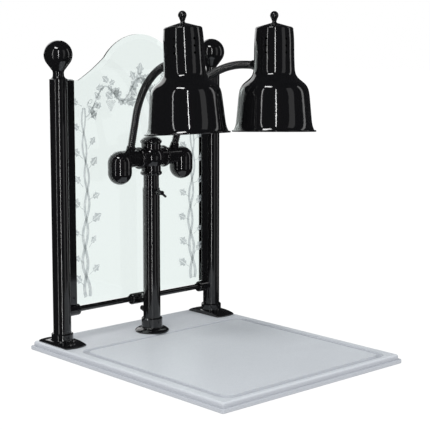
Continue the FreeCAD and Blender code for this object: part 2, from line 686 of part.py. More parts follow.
def make_cross_cap():
    """Plug with a low dome that closes the cross fitting's upper outlet."""
    top = Vector(0, CENTRE_Y, CROSS_Z + CROSS_HALF)
    brim = BEAD_R - 2
    dome_r = (brim ** 2 + CAP_DOME_H ** 2) / (2 * CAP_DOME_H)
    half_angle = math.asin(brim / dome_r) / 2
    middle = Vector(dome_r * math.sin(half_angle), 0, CAP_DOME_H - dome_r * (1 - math.cos(half_angle)))
    edges = polyline([Vector(0, 0, -CAP_PLUG_H), Vector(TUBE_R, 0, -CAP_PLUG_H), Vector(TUBE_R, 0, 0),
                      Vector(brim, 0, 0)])
    edges.append(Part.Arc(Vector(brim, 0, 0), middle, Vector(0, 0, CAP_DOME_H)).toShape())
    edges += polyline([Vector(0, 0, CAP_DOME_H), Vector(0, 0, -CAP_PLUG_H)])
    return revolve(edges, top)


def split_edges(solid):
    """Circular edges of an arm's end at the joint between its knuckle and its ball."""
    level = CROSS_Z - END_SPLIT_DROP
    return level_edges(solid, level)


def knuckle_place(side, drop):
    return Vector(side * KNUCKLE_X, CENTRE_Y, CROSS_Z - drop)


def make_arm(side):
    """Short tube from the cross that runs into a rounded knuckle, which turns down to its ball."""
    inner = CROSS_HALF - SOCKET_DEPTH + 1
    start = Vector(side * inner, CENTRE_Y, CROSS_Z)
    out = RIGHT * side
    bar = cylinder(ARM_R, KNUCKLE_X - inner, start, out)
    crown = KNUCKLE_R - ARM_R
    knuckle = Part.makeSphere(KNUCKLE_R, knuckle_place(side, crown))
    knuckle = knuckle.fuse(cylinder(KNUCKLE_R, KNUCKLE_R, knuckle_place(side, crown) - UP * KNUCKLE_R))
    split = knuckle_place(side, END_SPLIT_DROP)
    block = box(split - Vector(60, 60, 0), split + Vector(60, 60, 90))
    knuckle = knuckle.common(block).removeSplitter()
    knuckle = knuckle.makeChamfer(SPLIT_CHAMFER, split_edges(knuckle))
    arm = bar.fuse(knuckle).removeSplitter()
    bore = NECK_X + NECK_R - inner
    arm = arm.cut(cylinder(ARM_R - TUBE_WALL, bore, start, out))
    lamp = LAMPS["left"] if side < 0 else LAMPS["right"]
    arm = arm.cut(cylinder(NECK_R - NECK_WALL, 2 * ARM_R, neck_foot(lamp), neck_lean_axis(lamp)))
    return arm.cut(cylinder(SPIGOT_R + FIT, SPIGOT_L + GAP, knuckle_place(side, END_SPLIT_DROP)))


def make_end_ball(side):
    """Lower half of an arm's rounded end, held by a spigot in the knuckle."""
    centre = knuckle_place(side, END_BALL_DROP)
    ball = Part.makeSphere(KNUCKLE_R, centre)
    ball = ball.fuse(cylinder(KNUCKLE_R, END_BALL_DROP - END_SPLIT_DROP, centre))
    block = box(centre - Vector(60, 60, 60), knuckle_place(side, END_SPLIT_DROP) + Vector(60, 60, 0))
    ball = ball.common(block).removeSplitter()
    ball = ball.makeChamfer(SPLIT_CHAMFER, split_edges(ball))
    return ball.fuse(cylinder(SPIGOT_R, SPIGOT_L, knuckle_place(side, END_SPLIT_DROP))).removeSplitter()


# ---- necks ----------------------------------------------------------------------------------
def neck_foot(lamp):
    """Point on the arm's axis that the neck's axis starts from."""
    return Vector(lamp["side"] * NECK_X, CENTRE_Y, CROSS_Z)


def neck_ahead(lamp):
    """Level direction from the neck's foot to its lamp."""
    foot = neck_foot(lamp)
    return Vector(lamp["x"] - foot.x, lamp["y"] - foot.y, 0).normalize()


def neck_lean_axis(lamp):
    lean = math.radians(NECK_LEAN)
    return neck_ahead(lamp) * math.sin(lean) + UP * math.cos(lean)


def make_neck_seat(lamp):
    """Saddle boss on the arm that carries the neck's nut."""
    direction = neck_lean_axis(lamp)
    centre = neck_foot(lamp)
    seat = cylinder(SEAT_R, ARM_R + SEAT_H, centre, direction)
    seat = seat.cut(cylinder(ARM_R + FIT, 80, centre - RIGHT * 40, RIGHT))
    return seat.cut(cylinder(NECK_R - NECK_WALL, 60, centre, direction))


def make_neck_nut(lamp):
    direction = neck_lean_axis(lamp)
    base = neck_foot(lamp) + direction * (ARM_R + SEAT_H + GAP)
    nut = cylinder(NUT_R, NUT_H, base, direction)
    nut = nut.makeFillet(0.8, round_edges(nut))
    nut = nut.cut(cylinder(NECK_R - NECK_WALL, NUT_H, base, direction))
    return nut.cut(cylinder(NECK_R + FIT, NUT_H, base + direction * NUT_FLOOR, direction))


def lamp_entry(lamp):
    return Vector(lamp["x"], lamp["y"], BOARD_TOP + lamp["z"])


def neck_route(lamp):
    """Where the neck starts, turns and ends: a straight run, one arc, and a straight end.

    The first run and the arc's radius are solved so that the neck leaves its nut at NECK_LEAN and
    reaches the shade's wall at the lamp's own heading.
    """
    first = neck_lean_axis(lamp)
    ahead = neck_ahead(lamp)
    start = neck_foot(lamp) + first * (ARM_R + SEAT_H + GAP + NUT_FLOOR + FIT)
    lean = math.radians(NECK_LEAN)
    arrive = math.radians(lamp["arrive"])
    last = ahead * math.sin(arrive) + UP * math.cos(arrive)
    end = lamp_entry(lamp) - last * (SHOULDER_R + FERRULE_L)
    bend_end = end - last * lamp["straight"]
    reach = (bend_end - start).dot(ahead)
    rise = (bend_end - start).z
    across = math.cos(lean) - math.cos(arrive)
    climb = math.sin(arrive) - math.sin(lean)
    determinant = math.sin(lean) * climb - math.cos(lean) * across
    run = (reach * climb - rise * across) / determinant
    radius = (math.sin(lean) * rise - math.cos(lean) * reach) / determinant
    bend_start = start + first * run
    half = (lean + arrive) / 2
    middle = bend_start + ahead * (radius * (math.cos(lean) - math.cos(half)))
    middle = middle + UP * (radius * (math.sin(half) - math.sin(lean)))
    return {"start": start, "first": first, "bend_start": bend_start, "middle": middle,
            "bend_end": bend_end, "end": end, "last": last}


def make_neck(lamp):
    route = neck_route(lamp)
    path = Part.Wire([Part.LineSegment(route["start"], route["bend_start"]).toShape(),
                      Part.Arc(route["bend_start"], route["middle"], route["bend_end"]).toShape(),
                      Part.LineSegment(route["bend_end"], route["end"]).toShape()])
    neck = along(path, NECK_R, route["start"], route["first"])
    return neck.cut(along(path, NECK_R - NECK_WALL, route["start"], route["first"]))


def make_ferrule(lamp):
    """Sleeve that joins the neck's end to the shade, with a lock nut inside the wall."""
    route = neck_route(lamp)
    last = route["last"]
    end = route["end"] + last * FIT
    length = FERRULE_L + FERRULE_THROUGH + FERRULE_NUT_L
    sleeve = cylinder(NECK_R, length, end, last)
    grip = cylinder(FERRULE_R, FERRULE_L + FERRULE_GRIP_BACK - 4, end - last * FERRULE_GRIP_BACK, last)
    grip = grip.makeFillet(0.8, round_edges(grip))
    grip = grip.cut(cylinder(NECK_R + FIT, FERRULE_GRIP_BACK, end - last * FERRULE_GRIP_BACK, last))
    nut = cylinder(LOCK_NUT_R, FERRULE_NUT_L, end + last * (length - FERRULE_NUT_L), last)
    ferrule = sleeve.fuse(grip).fuse(nut).removeSplitter()
    return ferrule.cut(cylinder(NECK_R - NECK_WALL, 60, end - last * 20, last))


# ---- lamps, built upright with the rim's centre at the origin ---------------------------------
def lamp_placement(lamp):
    """Lean the lamp about the point where the neck's axis meets the shade's axis."""
    lean = math.radians(lamp["lean"])
    heading = math.radians(lamp["heading"])
    top = Vector(math.sin(lean) * math.cos(heading), math.sin(lean) * math.sin(heading), math.cos(lean))
    turn = FreeCAD.Placement(Vector(0, 0, 0), FreeCAD.Rotation(UP, top))
    drop = FreeCAD.Placement(Vector(0, 0, -lamp["entry"]), FreeCAD.Rotation())
    return FreeCAD.Placement(lamp_entry(lamp), FreeCAD.Rotation()).multiply(turn).multiply(drop)


def placed(shape, lamp):
    moved = shape.copy()
    moved.Placement = lamp_placement(lamp)
    return moved


def shade_outline():
    """Bell profile from the rim up, as (radius, height) knots of its outer face."""
    flare = [(RIM_R, 0), (RIM_R - 4.5, 7), (RIM_R - 6.7, 14)]
    flank = [(FLANK_R + 3.4, 30), (FLANK_R + 1.6, 50), (FLANK_R, 68), (FLANK_R - 1.2, 78)]
    brow = [(FLANK_R - 3.6, 88), (FLANK_R - 8.6, 96.5), (FLANK_R - 16.4, 103.5), (FLANK_R - 23.8, 110)]
    barrel = [(SHOULDER_R + 2.2, 116), (SHOULDER_R, 123), (SHOULDER_R - 1, 133), (SHOULDER_R - 1.9, 160)]
    return flare + flank + brow + barrel + [(TOP_R, SHADE_H)]


def shade_curve(inset):
    points = [Vector(r - inset, 0, h) for r, h in shade_outline()]
    points[-1].z = SHADE_H - inset
    curve = Part.BSplineCurve()
    curve.interpolate(points)
    return curve.toShape(), points


def vent_places(lamp):
    """Direction and height of each vent, leaving out those that the neck's hole would reach."""
    lowest_behind = lamp["entry"] + NECK_R + VENT_R + VENT_MARGIN
    places = []
    for height in VENT_ROWS:
        for index in range(VENT_COLUMNS):
            angle = math.radians(360 / VENT_COLUMNS * index + VENT_TURN)
            out = Vector(math.cos(angle), math.sin(angle), 0)
            if out.dot(neck_ahead(lamp)) > -0.8 or height > lowest_behind:
                places.append((out, height))
    return places


def make_shade(lamp):
    outer, outer_points = shade_curve(0)
    inner, inner_points = shade_curve(SHADE_WALL)
    top_out = Vector(STUD_R + FIT, 0, SHADE_H)
    top_in = Vector(STUD_R + FIT, 0, SHADE_H - SHADE_WALL)
    lip = polyline([inner_points[0], outer_points[0]])
    lid = polyline([outer_points[-1], top_out, top_in, inner_points[-1]])
    shade = revolve(lip + [outer] + lid + [inner])
    bead = Part.makeTorus(RIM_R - SHADE_WALL / 2, RIM_BEAD_R, Vector(0, 0, RIM_BEAD_R))
    shade = shade.fuse(bead)
    for out, height in vent_places(lamp):
        shade = shade.cut(cylinder(VENT_R, SHOULDER_R + 3, UP * height, out))
    shade = placed(shade, lamp)
    route = neck_route(lamp)
    return shade.cut(cylinder(NECK_R + FIT, 40, route["end"], route["last"]))


def make_shade_cap(lamp):
    """Shallow rounded cone that closes the top and centres the knob."""
    base = SHADE_H + CAP_GAP
    top = base + SHADE_CAP_H
    skirt = Vector(TOP_R, 0, base + SHADE_CAP_EDGE)
    brow = Vector(TOP_R - 5, 0, base + SHADE_CAP_EDGE + 4)
    crown = Vector(SHADE_CAP_TOP_R, 0, top)
    wall = Vector(0, 0, SHADE_CAP_WALL)
    edges = polyline([Vector(STUD_R + FIT, 0, top), crown])
    edges += polyline([crown, brow])
    edges.append(Part.Arc(brow, (brow + skirt) * 0.5 + Vector(0.9, 0, 0.9), skirt).toShape())
    edges += polyline([skirt, Vector(TOP_R, 0, base), Vector(TOP_R - 5, 0, base),
                       Vector(SHADE_CAP_TOP_R, 0, top - SHADE_CAP_WALL), Vector(STUD_R + FIT, 0, top) - wall,
                       Vector(STUD_R + FIT, 0, top)])
    return placed(revolve(edges), lamp)


def make_knob(lamp):
    """Pear-shaped knob on a small skirt, with a stud that reaches through the cap and the shade."""
    base = SHADE_H + CAP_GAP + SHADE_CAP_H
    low = base - SHADE_CAP_H - SHADE_WALL - STUD_REACH
    ball = Vector(0, 0, base + KNOB_H - KNOB_BALL_R)
    taper = math.radians(FINIAL_TAPER)
    join = ball + Vector(math.cos(taper), 0, -math.sin(taper)) * KNOB_BALL_R
    skirt = Vector(KNOB_SKIRT_R, 0, base)
    waist = Vector(KNOB_NECK_R, 0, base + KNOB_NECK_H)
    hollow = Vector(KNOB_NECK_R + 0.9, 0, base + KNOB_NECK_H * 0.4)
    edges = polyline([Vector(0, 0, low), Vector(STUD_R, 0, low), Vector(STUD_R, 0, base), skirt])
    edges.append(Part.Arc(skirt, hollow, waist).toShape())
    edges += polyline([waist, join])
    edges.append(Part.Arc(join, ball + Vector(KNOB_BALL_R, 0, 0), ball + UP * KNOB_BALL_R).toShape())
    edges += polyline([ball + UP * KNOB_BALL_R, Vector(0, 0, low)])
    return placed(revolve(edges), lamp)


def make_nipple(lamp):
    """Threaded tube that hangs the socket from the knob's stud."""
    low = SOCKET_TOP - 8
    top = SHADE_H - SHADE_WALL - CAP_GAP
    nipple = cylinder(NIPPLE_R, top - low, Vector(0, 0, low))
    lock = cylinder(NIPPLE_R + 4, 3, Vector(0, 0, top - 3))
    stud_hole = cylinder(STUD_R + FIT, 12, Vector(0, 0, top - 8))
    return placed(nipple.fuse(lock).removeSplitter().cut(stud_hole), lamp)


def make_socket(lamp):
    body = cylinder(SOCKET_R, SOCKET_TOP - SOCKET_LOW - 8, Vector(0, 0, SOCKET_LOW))
    body = body.makeFillet(2, level_edges(body, SOCKET_LOW) + level_edges(body, SOCKET_TOP - 8))
    shoulder = Part.makeCone(SOCKET_R - 4, NIPPLE_R + 3, 8, Vector(0, 0, SOCKET_TOP - 8))
    body = body.fuse(shoulder).cut(cylinder(SOCKET_BORE_R, SOCKET_BORE_DEPTH, Vector(0, 0, SOCKET_LOW)))
    body = body.removeSplitter().cut(cylinder(NIPPLE_R + FIT, 20, Vector(0, 0, SOCKET_TOP - 8)))
    return placed(body, lamp)


def bulb_body(inset):
    """Reflector bulb outline: crowned face, rounded brow, and a flank that runs into the neck."""
    face_edge = Vector(BULB_R - 3 - inset, 0, BULB_FACE + 11)
    brow_top = Vector(BULB_R - 2 - inset, 0, BULB_FACE + 28)
    neck_low = Vector(BULB_NECK_R - inset, 0, BULB_FACE + 80)
    face = Part.Arc(Vector(0, 0, BULB_FACE + inset), Vector(BULB_R * 0.62, 0, BULB_FACE + 3.2 + inset),
                    face_edge).toShape()
    brow = Part.Arc(face_edge, Vector(BULB_R - inset, 0, BULB_FACE + 19), brow_top).toShape()
    flank = Part.Arc(brow_top, Vector(BULB_R * 0.62 - inset, 0, BULB_FACE + 62), neck_low).toShape()
    top = BULB_TOP - inset
    closing = polyline([neck_low, Vector(CAP_SHELL_R - 1 - inset, 0, top), Vector(0, 0, top),
                        Vector(0, 0, BULB_FACE + inset)])
    return revolve([face, brow, flank] + closing)


def make_bulb(lamp):
    return placed(bulb_body(0).cut(bulb_body(BULB_WALL)), lamp)


def make_bulb_base(lamp):
    """Screw shell with three round threads and a centre contact."""
    edges = [Part.LineSegment(Vector(0, 0, BULB_TOP), Vector(CAP_SHELL_R, 0, BULB_TOP)).toShape()]
    turns = 4
    pitch = (CAP_SHELL_TOP - 4 - BULB_TOP) / turns
    for index in range(turns):
        low = Vector(CAP_SHELL_R, 0, BULB_TOP + index * pitch)
        high = low + UP * pitch
        edges.append(Part.Arc(low, (low + high) * 0.5 - Vector(1.1, 0, 0), high).toShape())
    shell_top = Vector(CAP_SHELL_R, 0, CAP_SHELL_TOP - 4)
    edges += polyline([shell_top, Vector(5, 0, CAP_SHELL_TOP), Vector(0, 0, CAP_SHELL_TOP),
                       Vector(0, 0, BULB_TOP)])
    return placed(revolve(edges), lamp)


# ---- write every node -----------------------------------------------------------------------
save("base_board", make_board())
save("rubber_feet", make_feet())
save("flange_bolts", make_bolts())
save("flange_set_screws", make_flange_set_screws())
save("glass_panel", make_glass())
save("glass_seat_pads", make_pads())
save("channel_set_screws", make_channel_screws())
save("lower_rail", make_rail())
save("rail_clamp", make_rail_clamp())
save("rail_set_screws", make_rail_screws())
save("centre_post_flange", make_centre_flange())
save("centre_post_tube", make_centre_tube())
save("thumb_boss", make_thumb_boss())
save("thumb_screw", make_thumb_screw())
save("cord_gland", make_gland())
save("stem_tube", make_stem())
save("cross_fitting", make_cross())
save("cross_set_screws", make_cross_screws())
save("cross_top_cap", make_cross_cap())

for name, side in SIDES.items():
    lamp = LAMPS[name]
    save(name + "_post_flange", make_outer_flange(side))
    save(name + "_post_tube", make_outer_tube(side))
    save(name + "_ball_finial", make_finial(side))
    save(name + "_glass_channel", make_channel(side))
    save(name + "_rail_socket", make_rail_socket(side))
    save(name + "_cross_arm", make_arm(side))
    save(name + "_end_ball", make_end_ball(side))
    save(name + "_neck_seat", make_neck_seat(lamp))
    save(name + "_neck_nut", make_neck_nut(lamp))
    save(name + "_neck", make_neck(lamp))
    save(name + "_neck_ferrule", make_ferrule(lamp))
    save(name + "_shade", make_shade(lamp))
    save(name + "_shade_cap", make_shade_cap(lamp))
    save(name + "_shade_knob", make_knob(lamp))
    save(name + "_socket_nipple", make_nipple(lamp))
    save(name + "_socket", make_socket(lamp))
    save(name + "_bulb", make_bulb(lamp))
    save(name + "_bulb_base", make_bulb_base(lamp))
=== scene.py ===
"""Looks for the two-lamp carving station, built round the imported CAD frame.  Metres, +Z up."""
import json
import math
import random

import bmesh
import bpy
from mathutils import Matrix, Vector


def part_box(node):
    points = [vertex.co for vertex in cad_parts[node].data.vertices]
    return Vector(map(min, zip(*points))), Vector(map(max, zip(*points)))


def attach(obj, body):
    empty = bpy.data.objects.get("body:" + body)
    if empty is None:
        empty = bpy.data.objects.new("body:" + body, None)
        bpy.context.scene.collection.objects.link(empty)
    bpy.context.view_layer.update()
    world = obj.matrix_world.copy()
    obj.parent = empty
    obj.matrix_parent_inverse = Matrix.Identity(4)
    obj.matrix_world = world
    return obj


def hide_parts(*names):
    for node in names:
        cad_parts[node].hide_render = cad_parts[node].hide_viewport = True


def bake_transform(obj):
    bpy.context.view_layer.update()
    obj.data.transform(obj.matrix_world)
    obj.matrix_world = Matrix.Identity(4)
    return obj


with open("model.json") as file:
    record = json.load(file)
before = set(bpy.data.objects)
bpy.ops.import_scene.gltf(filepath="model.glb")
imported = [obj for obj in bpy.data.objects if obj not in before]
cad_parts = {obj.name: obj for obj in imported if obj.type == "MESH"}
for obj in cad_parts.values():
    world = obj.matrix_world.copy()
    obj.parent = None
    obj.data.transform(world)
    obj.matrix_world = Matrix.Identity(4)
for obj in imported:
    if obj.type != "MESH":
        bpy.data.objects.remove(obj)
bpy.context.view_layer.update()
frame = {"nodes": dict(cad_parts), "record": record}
NODES = frame["nodes"]
JOINTS = {joint["name"]: joint for joint in frame["record"]["behaviour"]["joints"]}
UP = Vector((0, 0, 1))
SIDES = {"left": -1, "right": 1}
scene = bpy.context.scene


# ---- camera and light -----------------------------------------------------------------------
CAMERA_PLACE = (-1.7107, -1.8645, 0.6934)
CAMERA_HEADING = -42.18     # degrees from +Y, anticlockwise seen from above
CAMERA_PITCH = -7.56        # degrees above level
CAMERA_LENS = 102.84        # mm, on a 36 mm sensor
CAMERA_SHIFT = (0.0233, -0.0581)


def make_camera():
    data = bpy.data.cameras.new("camera")
    data.lens = CAMERA_LENS
    data.sensor_width = 36.0
    data.shift_x, data.shift_y = CAMERA_SHIFT
    data.clip_end = 60.0
    camera = bpy.data.objects.new("camera", data)
    camera.location = CAMERA_PLACE
    camera.rotation_euler = (math.radians(90 + CAMERA_PITCH), 0, math.radians(CAMERA_HEADING))
    scene.collection.objects.link(camera)
    scene.camera = camera


def area_light(name, azimuth, distance, height, size, power, aim=(0, 0, 0.4), color=(1, 1, 1)):
    """Rectangular softbox standing at an azimuth (degrees from +X) and facing the object."""
    data = bpy.data.lights.new(name, "AREA")
    data.shape = "RECTANGLE"
    data.size, data.size_y = size
    data.energy = power
    data.color = color
    light = bpy.data.objects.new(name, data)
    angle = math.radians(azimuth)
    light.location = (distance * math.cos(angle), distance * math.sin(angle), height)
    light.rotation_euler = (Vector(aim) - light.location).to_track_quat("-Z", "Y").to_euler()
    scene.collection.objects.link(light)
    return light


def make_world():
    """White to the eye and through glass, a soft sky for diffuse light, and a dark room in reflections."""
    world = bpy.data.worlds.new("studio")
    scene.world = world
    world.use_nodes = True
    nodes, links = world.node_tree.nodes, world.node_tree.links
    nodes.clear()
    path = nodes.new("ShaderNodeLightPath")
    seen = nodes.new("ShaderNodeMath")
    seen.operation = "MAXIMUM"
    links.new(path.outputs["Is Camera Ray"], seen.inputs[0])
    links.new(path.outputs["Is Transmission Ray"], seen.inputs[1])
    white = nodes.new("ShaderNodeBackground")
    white.inputs["Color"].default_value = (1, 1, 1, 1)
    room = nodes.new("ShaderNodeBackground")
    room.inputs["Color"].default_value = (0.93, 0.96, 1.0, 1)
    room.inputs["Strength"].default_value = 0.72
    dark = nodes.new("ShaderNodeBackground")
    dark.inputs["Color"].default_value = (0.022, 0.022, 0.024, 1)
    lit = nodes.new("ShaderNodeMixShader")
    links.new(path.outputs["Is Glossy Ray"], lit.inputs[0])
    links.new(room.outputs[0], lit.inputs[1])
    links.new(dark.outputs[0], lit.inputs[2])
    final = nodes.new("ShaderNodeMixShader")
    links.new(seen.outputs[0], final.inputs[0])
    links.new(lit.outputs[0], final.inputs[1])
    links.new(white.outputs[0], final.inputs[2])
    out = nodes.new("ShaderNodeOutputWorld")
    links.new(final.outputs[0], out.inputs["Surface"])


def make_lights():
    area_light("strip_key", 233, 3.6, 0.9, (0.10, 4.4), 40)
    area_light("strip_left", 186, 3.4, 0.9, (0.16, 4.2), 14)
    area_light("panel_right", 283, 3.4, 0.9, (1.1, 4.2), 7)
    area_light("panel_back", 330, 3.2, 1.0, (0.5, 3.4), 8)
    area_light("front_overhead", 200, 1.7, 3.0, (1.1, 0.45), 26, aim=(0, 0, 0.5))
    area_light("back", 75, 3.0, 1.6, (2.0, 2.0), 16)


def make_floor():
    """Evenly lit white sweep that stays out of the enamel's reflections."""
    size = 14.0
    mesh = bpy.data.meshes.new("floor")
    corners = [(-size, -size, 0), (size, -size, 0), (size, size, 0), (-size, size, 0)]
    mesh.from_pydata(corners, [], [(0, 1, 2, 3)])
    floor = bpy.data.objects.new("floor", mesh)
    scene.collection.objects.link(floor)
    material = principled("floor_paper", (0.04, 0.04, 0.04), 0.9, Specular_IOR_Level=0.0)
    shader = shader_of(material)
    shader.inputs["Emission Color"].default_value = (1, 1, 1, 1)
    shader.inputs["Emission Strength"].default_value = 1.0
    noise_bump(material, 40, 0.02, 0.0005)
    mesh.materials.append(material)
    floor.visible_glossy = False


# ---- material helpers -----------------------------------------------------------------------
def principled(name, color, roughness, metallic=0.0, **sockets):
    material = bpy.data.materials.new(name)
    material.use_nodes = True
    shader = material.node_tree.nodes["Principled BSDF"]
    shader.inputs["Base Color"].default_value = (*color, 1)
    shader.inputs["Roughness"].default_value = roughness
    shader.inputs["Metallic"].default_value = metallic
    for socket, value in sockets.items():
        shader.inputs[socket.replace("_", " ")].default_value = value
    return material


def shader_of(material):
    return material.node_tree.nodes["Principled BSDF"]


def noise(material, scale, detail=4.0, stretch=(1, 1, 1)):
    nodes, links = material.node_tree.nodes, material.node_tree.links
    place = nodes.new("ShaderNodeTexCoord")
    mapping = nodes.new("ShaderNodeMapping")
    mapping.inputs["Scale"].default_value = stretch
    texture = nodes.new("ShaderNodeTexNoise")
    texture.inputs["Scale"].default_value = scale
    texture.inputs["Detail"].default_value = detail
    links.new(place.outputs["Object"], mapping.inputs["Vector"])
    links.new(mapping.outputs["Vector"], texture.inputs["Vector"])
    return texture


def noise_bump(material, scale, strength, distance, stretch=(1, 1, 1)):
    nodes, links = material.node_tree.nodes, material.node_tree.links
    bump = nodes.new("ShaderNodeBump")
    bump.inputs["Strength"].default_value = strength
    bump.inputs["Distance"].default_value = distance
    links.new(noise(material, scale, 4.0, stretch).outputs["Fac"], bump.inputs["Height"])
    links.new(bump.outputs["Normal"], shader_of(material).inputs["Normal"])


def ramp(material, texture, stops, socket):
    """Drive a shader socket from a texture through a colour ramp."""
    nodes, links = material.node_tree.nodes, material.node_tree.links
    node = nodes.new("ShaderNodeValToRGB")
    elements = node.color_ramp.elements
    elements[0].position, elements[1].position = stops[0][0], stops[-1][0]
    elements[0].color = stops[0][1]
    elements[1].color = stops[-1][1]
    for position, color in stops[1:-1]:
        elements.new(position).color = color
    links.new(texture.outputs["Fac"], node.inputs["Fac"])
    links.new(node.outputs["Color"], shader_of(material).inputs[socket])


def grey(value):
    return (value, value, value, 1)


# ---- materials ------------------------------------------------------------------------------
def enamel_material(name, low, high, peel):
    """Gloss black enamel with faint smears in the gloss and a trace of orange peel."""
    material = principled(name, (0.0045, 0.0045, 0.005), 0.1, Coat_Weight=0.35, Coat_Roughness=0.03)
    ramp(material, noise(material, 9, 5), [(0.35, grey(low)), (0.65, grey(high))], "Roughness")
    noise_bump(material, 260, peel, 0.0004)
    return material


def board_material():
    """Solid surface: cool grey-white with very fine fleck and a satin, lightly handled finish, with painted
    shade darkening the groove and the edge below the top face.
    """
    material = principled("solid_surface", (0.68, 0.7, 0.72), 0.42, Specular_IOR_Level=0.4)
    fleck = [(0.3, (0.62, 0.645, 0.67, 1)), (0.5, (0.68, 0.705, 0.73, 1)), (0.7, (0.74, 0.76, 0.78, 1))]
    ramp(material, noise(material, 700, 6), fleck, "Base Color")
    ramp(material, noise(material, 6, 6, (1, 4, 1)), [(0.3, grey(0.34)), (0.7, grey(0.48))], "Roughness")
    noise_bump(material, 500, 0.05, 0.0003)
    # painted shade: the colour is multiplied darker below the top face, in the juice groove and down the edge
    paint_shade_below(material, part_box("base_board")[1].z, (0.72, 0.72, 0.74, 1))
    return material


GROOVE_SHADE_FADE = (0.0035, 0.0003)   # the painted shade is full at the first depth and gone at the second


def paint_shade_below(material, top, shade_tint):
    """Paint shade into the colour below the level of the top face, darkening the groove and down the edge
    where shade falls.
    """
    nodes, links = material.node_tree.nodes, material.node_tree.links
    place = nodes.new("ShaderNodeTexCoord")
    split = nodes.new("ShaderNodeSeparateXYZ")
    links.new(place.outputs["Object"], split.inputs["Vector"])
    span = nodes.new("ShaderNodeMapRange")
    span.inputs["From Min"].default_value = top - GROOVE_SHADE_FADE[0]
    span.inputs["From Max"].default_value = top - GROOVE_SHADE_FADE[1]
    links.new(split.outputs["Z"], span.inputs["Value"])
    # painted shade: multiply the base colour by the shade tint where the mask is on
    mix = nodes.new("ShaderNodeMix")
    mix.data_type = "RGBA"
    mix.blend_type = "MULTIPLY"
    socket = shader_of(material).inputs["Base Color"]
    base = socket.links[0].from_socket
    turned = nodes.new("ShaderNodeMath")
    turned.operation = "SUBTRACT"
    turned.inputs[0].default_value = 1.0
    links.new(span.outputs["Result"], turned.inputs[1])
    links.new(turned.outputs["Value"], mix.inputs["Factor"])
    links.new(base, mix.inputs["A"])
    mix.inputs["B"].default_value = shade_tint
    links.new(mix.outputs["Result"], socket)


def glass_material():
    material = principled("pane_glass", (0.83, 0.895, 0.875), 0.0, Transmission_Weight=1.0, IOR=1.45)
    ramp(material, noise(material, 5, 2), [(0.3, grey(0.0)), (0.7, grey(0.012))], "Roughness")
    return material


def etched_material():
    """Sand-blasted glass: pale, matt and part see-through."""
    material = principled("etched_glass", (0.4, 0.44, 0.45), 0.65, Alpha=0.7, Specular_IOR_Level=0.2)
    shades = [(0.3, (0.34, 0.38, 0.39, 1)), (0.7, (0.56, 0.6, 0.6, 1))]
    ramp(material, noise(material, 120, 5), shades, "Base Color")
    noise_bump(material, 900, 0.4, 0.0003)
    return material


def metal_material(name, color, low, high, scale=80, stretch=(1, 1, 1)):
    material = principled(name, color, low, 1.0)
    ramp(material, noise(material, scale, 5, stretch), [(0.3, grey(low)), (0.7, grey(high))], "Roughness")
    noise_bump(material, scale * 4, 0.08, 0.0002, stretch)
    return material


def plain_material(name, color, low, high, bump, scale=300, **sockets):
    material = principled(name, color, low, 0.0, **sockets)
    ramp(material, noise(material, scale / 4, 4), [(0.3, grey(low)), (0.7, grey(high))], "Roughness")
    noise_bump(material, scale, bump, 0.0004)
    return material


def make_materials():
    return {
        "board": board_material(),
        "enamel": enamel_material("gloss_enamel", 0.07, 0.13, 0.03),
        "shade_enamel": enamel_material("shade_enamel", 0.05, 0.09, 0.02),
        "neck_metal": enamel_material("neck_enamel", 0.10, 0.18, 0.05),
        "guard_glass": glass_material(),
        "etched": etched_material(),
        "clear_pad": plain_material("clear_vinyl", (0.75, 0.79, 0.78), 0.3, 0.45, 0.1,
                                    Transmission_Weight=0.4),
        "rubber": plain_material("foot_rubber", (0.02, 0.02, 0.02), 0.75, 0.9, 0.3),
        "steel": metal_material("black_oxide", (0.05, 0.05, 0.055), 0.25, 0.42),
        "black_plastic": plain_material("moulded_nylon", (0.015, 0.015, 0.016), 0.42, 0.55, 0.2),
        "brass": metal_material("turned_brass", (0.75, 0.55, 0.26), 0.2, 0.35),
        "ceramic": plain_material("porcelain", (0.86, 0.84, 0.8), 0.12, 0.22, 0.05),
        "bulb_glass": plain_material("frosted_bulb", (0.9, 0.88, 0.84), 0.3, 0.42, 0.05, Coat_Weight=0.5),
        "bulb_cap": metal_material("bulb_shell", (0.8, 0.8, 0.81), 0.22, 0.34),
    }


def paint(obj, material):
    obj.data.materials.clear()
    obj.data.materials.append(material)


def paint_nodes(materials):
    """Give every CAD node the material of its slot."""
    for entry in frame["record"]["subparts"]:
        paint(NODES[entry["node"]], materials[entry["material_slot"]])


# ---- mesh helpers ---------------------------------------------------------------------------
def mesh_object(name, vertices, faces, material, smooth=True):
    mesh = bpy.data.meshes.new(name)
    mesh.from_pydata([tuple(v) for v in vertices], [], faces)
    mesh.validate()
    bm = bmesh.new()
    bm.from_mesh(mesh)
    bmesh.ops.recalc_face_normals(bm, faces=bm.faces)
    bm.to_mesh(mesh)
    bm.free()
    obj = bpy.data.objects.new(name, mesh)
    scene.collection.objects.link(obj)
    paint(obj, material)
    for polygon in mesh.polygons:
        polygon.use_smooth = smooth
    return obj


def ring_tube(points, tangents, normal, radii, segments):
    """Rings of vertices round a path that lies in the plane square to normal, closed at both ends."""
    vertices, faces = [], []
    for point, tangent, radius in zip(points, tangents, radii):
        across = tangent.cross(normal).normalized()
        for index in range(segments):
            angle = 2 * math.pi * index / segments
            vertices.append(point + (normal * math.cos(angle) + across * math.sin(angle)) * radius)
    for ring in range(len(points) - 1):
        for index in range(segments):
            a = ring * segments + index
            b = ring * segments + (index + 1) % segments
            faces.append((a, b, b + segments, a + segments))
    faces.append(tuple(range(segments - 1, -1, -1)))
    last = (len(points) - 1) * segments
    faces.append(tuple(range(last, last + segments)))
    return vertices, faces


